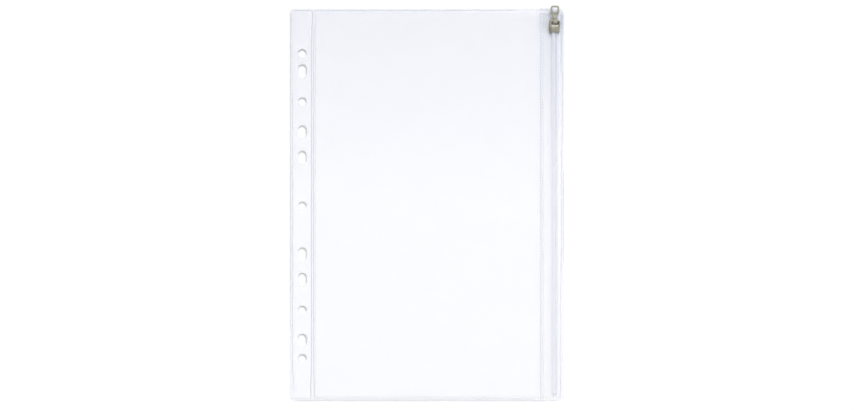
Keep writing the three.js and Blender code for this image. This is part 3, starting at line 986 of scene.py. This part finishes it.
def add_strip(context, node, name, head_left, head_right, head_opacity):
    """A zip strip from its CAD node, with its web, head, ends and edges told apart."""
    film, zips = context.scene.pocket_film, context.scene.pocket_zip
    bm = cad_copy(node)
    cut_along(bm, 1, spaced(BOTTOM, TOP, STRIP_STEP))
    cut_along(bm, 1, [BOTTOM + BOTTOM_WELD, TOP - TOP_WELD])
    bm.normal_update()
    for face in bm.faces:
        middle = face.calc_center_median()
        on_head = head_left < middle.x < head_right
        if middle.y < BOTTOM + BOTTOM_WELD or middle.y > TOP - TOP_WELD:
            face.material_index = 2 if on_head else 0
        elif on_head:
            face.material_index = 1
        else:
            face.material_index = 3 if abs(face.normal.z) < WALL else 0
    materials = [
        web_vinyl(film),
        head_vinyl(film, zips, name + "_vinyl", head_opacity),
        crushed_vinyl(film, zips),
        cut_edge(film),
    ]
    make_piece(name, bm, materials, "pocket", [node])


class POCKET_OT_zip_strips(Operator):
    """The two extruded zip strips"""

    bl_idname = "pocket.zip_strips"
    bl_label = "Zip Strips"

    def execute(self, context):
        outer_left, outer_right = SLIDER_LOW.x + SLIDER_WALL, SLIDER_HIGH.x - SLIDER_WALL
        inner_right, inner_left = GROOVE_HIGH.x + MM, RIB_LEFT - MM
        # The head with the groove looks denser than the one with the rib
        add_strip(context, "zip_groove_strip", "zip_groove", outer_left, inner_right, 0.42)
        add_strip(context, "zip_rib_strip", "zip_rib", inner_left, outer_right, 0.26)
        return {"FINISHED"}


def knurl_rail(film, zips):
    """Glossy line that the rim of the welding wheel leaves."""
    return shared(
        "knurl_rail_vinyl",
        clear_vinyl,
        tint=list(zips.rail),
        opacity=0.3,
        edge_opacity=0.7,
        roughness=0.2,
        peel=0.1,
        shade=film.shade,
    )


def knurl_rung(film, zips):
    """Ridge that the wheel's teeth leave frosted through."""
    return shared(
        "knurl_rung_vinyl",
        clear_vinyl,
        tint=list(zips.rung),
        opacity=1.0,
        edge_opacity=1.0,
        roughness=0.3,
        peel=0.1,
        shade=film.shade,
    )


class POCKET_OT_knurled_weld(Operator):
    """The knurled weld that joins the zip's web to the front film, pressed as a ladder"""

    bl_idname = "pocket.knurled_weld"
    bl_label = "Knurled Weld"

    def execute(self, context):
        film, zips = context.scene.pocket_film, context.scene.pocket_zip
        inset = 0.5 * MM
        left, right = GROOVE_LOW.x + inset, MOUTH_EDGE - inset
        # From just above the lower weld to just below the upper one
        start, end = BOTTOM + 4.5 * MM, TOP - 3.6 * MM
        bm = bmesh.new()
        level = WEB_TOP + LIFT
        for x, width in ((left, 0.7 * MM), (right, 0.4 * MM)):
            add_ribbon(bm, [(x, end), (x, start)], width, zips.knurl_height, level)
        rails = set(bm.faces)
        for y in spaced(start, end, zips.knurl_pitch):
            rung = [(left + 0.3 * MM, y), (right - 0.2 * MM, y)]
            add_ribbon(bm, rung, zips.knurl_pitch * 0.3, zips.knurl_height, level)
        for face in bm.faces:
            face.material_index = 0 if face in rails else 1
        bmesh.ops.recalc_face_normals(bm, faces=bm.faces)
        materials = [knurl_rail(film, zips), knurl_rung(film, zips)]
        make_piece("knurled_weld", bm, materials, "pocket", [], sharp=60)
        return {"FINISHED"}


def rounded_copy(node, width):
    """A CAD node's mesh with its edges rounded; the rounded faces take the second material."""
    bm = cad_copy(node)
    edges = [e for e in bm.edges if len(e.link_faces) == 2 and e.calc_face_angle() > CORNER]
    made = bmesh.ops.bevel(
        bm,
        geom=edges,
        offset=width,
        offset_type="OFFSET",
        affect="EDGES",
        segments=2,
        profile=0.5,
        material=-1,
        clamp_overlap=True,
    )
    # The rounded edges take the worn brass tone, lighter as painted glints
    for face in made["faces"]:
        face.material_index = 1
    return bm


def cast_nickel(slider):
    """Plate over the grainy skin of the zinc casting."""
    return shared(
        "cast_nickel",
        plated_metal,
        colour=list(slider.casting),
        roughness=0.32,
        grain=0.35,
    )


def bright_nickel(slider):
    """Paler plate of the smooth pressed parts, with a soft, tumbled gloss."""
    return shared(
        "bright_nickel",
        plated_metal,
        colour=list(slider.pull),
        roughness=0.6,
        grain=0.15,
    )


def worn_plate_and_glint(slider):
    """Brass tone of plate rubbed thin on the edges, made lighter there as painted glints."""
    return shared(
        "worn_nickel_edge",
        plated_metal,
        colour=list(slider.worn),
        roughness=0.42,
        grain=0.15,
    )


class POCKET_OT_slider_body(Operator):
    """The cast slider on the two heads of the zip"""

    bl_idname = "pocket.slider_body"
    bl_label = "Slider Body"

    def execute(self, context):
        slider = context.scene.pocket_slider
        bm = rounded_copy("slider_body", slider.edge)
        materials = [cast_nickel(slider), worn_plate_and_glint(slider)]
        make_piece("slider", bm, materials, "slider", ["slider_body"])
        return {"FINISHED"}


class POCKET_OT_pull_pin(Operator):
    """The riveted hinge pin of the pull"""

    bl_idname = "pocket.pull_pin"
    bl_label = "Pull Pin"

    def execute(self, context):
        slider = context.scene.pocket_slider
        bm = cad_copy("pull_pin")
        materials = [bright_nickel(slider)]
        make_piece("hinge_pin", bm, materials, "slider", ["pull_pin"])
        return {"FINISHED"}


class POCKET_OT_pull_tab(Operator):
    """The pull with the cap over its pin and its ring"""

    bl_idname = "pocket.pull_tab"
    bl_label = "Pull Tab"

    def execute(self, context):
        slider = context.scene.pocket_slider
        # The pull is pressed from thinner metal, so its edges are a little finer
        bm = rounded_copy("pull_tab", slider.edge * 0.8)
        materials = [bright_nickel(slider), worn_plate_and_glint(slider)]
        make_piece("pull", bm, materials, "pull", ["pull_tab"])
        return {"FINISHED"}


def add_lamp(name, place, size, power, colour):
    """A soft square lamp that looks at the middle of the pocket, its place and size in metres."""
    lamp = bpy.data.lights.new(name, "AREA")
    lamp.shape = "SQUARE"
    lamp.size = size
    lamp.energy = power
    lamp.color = colour
    holder = bpy.data.objects.new(name, lamp)
    holder.location = place
    holder.rotation_euler = (-Vector(place)).to_track_quat("-Z", "Y").to_euler()
    bpy.context.scene.collection.objects.link(holder)


def seen_directly(tree):
    """1 where the eye looks, or looks by way of a mirror or through glass, and else 0."""
    path = add_node(tree, "ShaderNodeLightPath")
    seen = path.outputs["Is Camera Ray"]
    for kind in ("Is Glossy Ray", "Is Transmission Ray"):
        links = {0: seen, 1: path.outputs[kind]}
        seen = add_node(tree, "ShaderNodeMath", links, operation="MAXIMUM").outputs[0]
    return seen


def floor_material(colour, white):
    """A pale matt board. Where the eye, a mirror or glass looks, it glows up to white, and it
    still keeps the shadow."""
    material, tree, place, output = new_material("pale_board")
    # Grain of the board, about 1 mm across
    grain = add_node(
        tree, "ShaderNodeTexNoise", {"Vector": place, "Scale": 900.0, "Detail": 2.0}
    )
    bump = add_node(
        tree,
        "ShaderNodeBump",
        {"Height": grain.outputs["Fac"], "Strength": 0.05, "Distance": 0.05 * MM},
    )
    board = add_node(
        tree,
        "ShaderNodeBsdfPrincipled",
        {
            "Base Color": (*colour, 1),
            "Roughness": 0.9,
            "Specular IOR Level": 0.1,
            "Normal": bump.outputs["Normal"],
        },
    )
    glow = add_node(
        tree, "ShaderNodeMath", {0: seen_directly(tree), 1: white}, operation="MULTIPLY"
    )
    light = add_node(tree, "ShaderNodeEmission", {"Strength": glow.outputs[0]})
    both = add_node(
        tree, "ShaderNodeAddShader", {0: board.outputs["BSDF"], 1: light.outputs[0]}
    )
    tree.links.new(both.outputs[0], output.inputs["Surface"])
    return material


def white_room(ceiling, walls):
    """A world that is brightest straight overhead, as under a white ceiling with plain walls. The
    eye, mirrors and glass see it plain white."""
    world = bpy.data.worlds.new("white_room")
    world.use_nodes = True
    tree = world.node_tree
    background = tree.nodes["Background"]
    place = add_node(tree, "ShaderNodeTexCoord")
    split = add_node(tree, "ShaderNodeSeparateXYZ", {"Vector": place.outputs["Generated"]})
    level = add_node(
        tree,
        "ShaderNodeMapRange",
        {"Value": split.outputs["Z"], "To Min": walls, "To Max": ceiling},
    )
    strength = add_node(
        tree,
        "ShaderNodeMath",
        {0: level.outputs["Result"], 1: seen_directly(tree)},
        operation="MAXIMUM",
    )
    background.inputs["Color"].default_value = (1, 1, 1, 1)
    tree.links.new(strength.outputs[0], background.inputs["Strength"])
    return world


class POCKET_OT_stage(Operator):
    """Floor, light and camera"""

    bl_idname = "pocket.stage"
    bl_label = "Stage"

    def execute(self, context):
        stage = context.scene.pocket_stage
        bm = bmesh.new()
        bmesh.ops.create_grid(bm, x_segments=1, y_segments=1, size=FLOOR_REACH)
        bmesh.ops.translate(bm, vec=(0, 0, FLOOR_LEVEL), verts=bm.verts)
        mesh = bpy.data.meshes.new("floor")
        bm.to_mesh(mesh)
        bm.free()
        mesh.materials.append(floor_material(list(stage.floor), stage.glow))
        floor = bpy.data.objects.new("floor", mesh)
        context.scene.collection.objects.link(floor)

        add_lamp("key", (1.11, 4.15, 4.61), 1.6, stage.key, (1, 0.99, 0.97))
        add_lamp("side", (3.25, 0.46, 2.29), 2.2, stage.side, (1, 1, 1))
        add_lamp("fill", (-0.7, -0.9, 1.1), 0.9, stage.fill, (0.97, 0.98, 1))
        context.scene.world = white_room(stage.ceiling, stage.walls)

        lens = bpy.data.cameras.new("camera")
        lens.sensor_width = SENSOR
        lens.lens = SENSOR * stage.height / stage.view_width
        camera = bpy.data.objects.new("camera", lens)
        camera.location = (0, 0, stage.height)
        context.scene.collection.objects.link(camera)
        context.scene.camera = camera
        context.scene.view_settings.view_transform = "Standard"
        # Up to a dozen clear faces lie over one another at the zip
        context.scene.cycles.transparent_max_bounces = 32
        return {"FINISHED"}


class POCKET_PT_sidebar(Panel):
    """The pocket's pieces, in the order they're made"""

    bl_idname = "POCKET_PT_sidebar"
    bl_label = "Zip Binder Pocket"
    bl_space_type = "VIEW_3D"
    bl_region_type = "UI"
    bl_category = "Pocket"

    def draw(self, context):
        for group in SETTINGS:
            settings = getattr(context.scene, group)
            box = self.layout.box()
            for name in settings.bl_rna.properties.keys():
                if name not in ("rna_type", "name"):
                    box.prop(settings, name)
        for operator in OPERATORS:
            self.layout.operator(operator.bl_idname)


SETTINGS = {
    "pocket_film": FilmSettings,
    "pocket_zip": ZipSettings,
    "pocket_slider": SliderSettings,
    "pocket_stage": StageSettings,
}
OPERATORS = (
    POCKET_OT_back_film,
    POCKET_OT_front_film,
    POCKET_OT_hole_rims,
    POCKET_OT_weld_beads,
    POCKET_OT_outer_weld_lines,
    POCKET_OT_zip_strips,
    POCKET_OT_knurled_weld,
    POCKET_OT_slider_body,
    POCKET_OT_pull_pin,
    POCKET_OT_pull_tab,
    POCKET_OT_stage,
)
CLASSES = (*SETTINGS.values(), *OPERATORS, POCKET_PT_sidebar)


def register():
    for cls in CLASSES:
        bpy.utils.register_class(cls)
    for name, settings in SETTINGS.items():
        setattr(bpy.types.Scene, name, PointerProperty(type=settings))


def unregister():
    for name in SETTINGS:
        delattr(bpy.types.Scene, name)
    for cls in reversed(CLASSES):
        bpy.utils.unregister_class(cls)


def main():
    register()
    bpy.ops.pocket.back_film()
    bpy.ops.pocket.front_film()
    bpy.ops.pocket.hole_rims()
    bpy.ops.pocket.weld_beads()
    bpy.ops.pocket.outer_weld_lines()
    bpy.ops.pocket.zip_strips()
    bpy.ops.pocket.knurled_weld()
    bpy.ops.pocket.slider_body()
    bpy.ops.pocket.pull_pin()
    bpy.ops.pocket.pull_tab()
    bpy.ops.pocket.stage()


if __name__ == "__main__":
    main()
